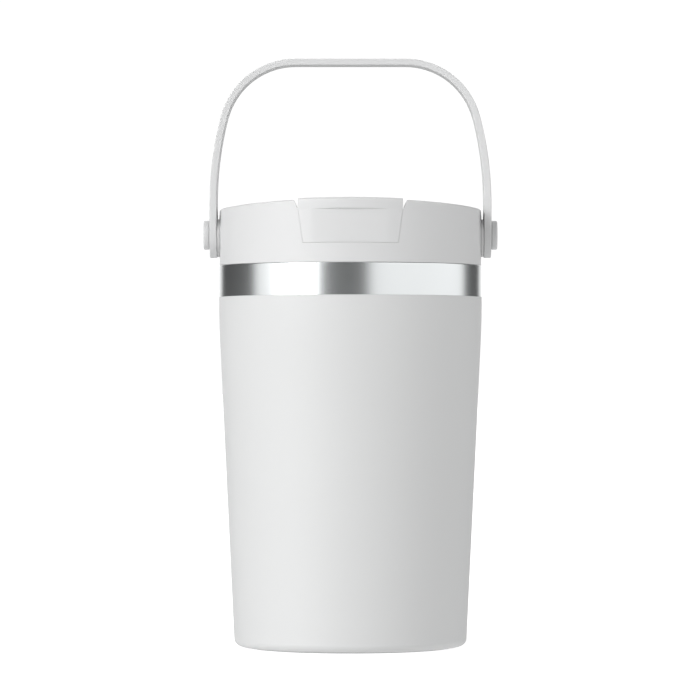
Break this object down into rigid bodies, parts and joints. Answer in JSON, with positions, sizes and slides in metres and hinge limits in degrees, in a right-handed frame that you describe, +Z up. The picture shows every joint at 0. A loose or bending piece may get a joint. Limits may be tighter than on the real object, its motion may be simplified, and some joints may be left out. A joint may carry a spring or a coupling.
{
  "type": "insulated tumbler",
  "caption": "Double-walled insulated tumbler with a steel band, lift-off lid, flip cap over the sip hole and a swinging carry handle.",
  "frame": {"origin": "centre of the base, on the surface that the tumbler stands on", "axes": "+Z up along the cup's axis, -Y towards the sip side, X along the handle's pivot axis"},
  "size_m": [0.0984, 0.088, 0.1969],
  "materials": {
    "powder_coat": "matt light grey powder coat with a fine texture",
    "bare_steel": "finely turned stainless steel",
    "lid_plastic": "satin moulded polypropylene",
    "handle_plastic": "satin moulded plastic",
    "washer_plastic": "satin nylon",
    "silicone": "soft matt silicone",
    "foam": "fine-celled foam",
    "copper": "thin copper foil",
    "getter": "sintered metal pellet",
    "solder": "smooth solder bead"
  },
  "bodies": {
    "cup": {"outer_shell": "powder_coat", "steel_collar": "bare_steel", "inner_liner": "bare_steel", "copper_foil": "copper", "base_disc": "bare_steel", "getter_clip": "bare_steel", "getter_pellet": "getter", "vacuum_seal": "solder", "port_cover": "powder_coat", "foot_ring": "silicone"},
    "lid": {"lid_shell": "lid_plastic", "lid_plug": "lid_plastic", "lid_insulation": "foam", "lid_gasket": "silicone", "sip_spout": "lid_plastic", "vent_tube": "lid_plastic", "cap_hinge_pin": "bare_steel", "pivot_pin_left": "handle_plastic", "pivot_pin_right": "handle_plastic", "pivot_washer_left": "washer_plastic", "pivot_washer_right": "washer_plastic"},
    "handle": {"handle_strap": "handle_plastic"},
    "cap": {"flip_cap": "lid_plastic", "cap_inner_plate": "lid_plastic", "spout_stopper": "silicone", "vent_stopper": "silicone"}
  },
  "joints": [
    {"name": "lid_lift", "type": "slide", "parent": "cup", "child": "lid", "axis": [0, 0, 1], "range_m": [0, 0.06]},
    {"name": "handle_swing", "type": "hinge", "parent": "lid", "child": "handle", "pos_m": [0, 0, 0.1379], "axis": [1, 0, 0], "range_deg": [-120, 120]},
    {"name": "cap_flip", "type": "hinge", "parent": "lid", "child": "cap", "pos_m": [0, -0.004, 0.14615], "axis": [-1, 0, 0], "range_deg": [0, 125]}
  ]
}
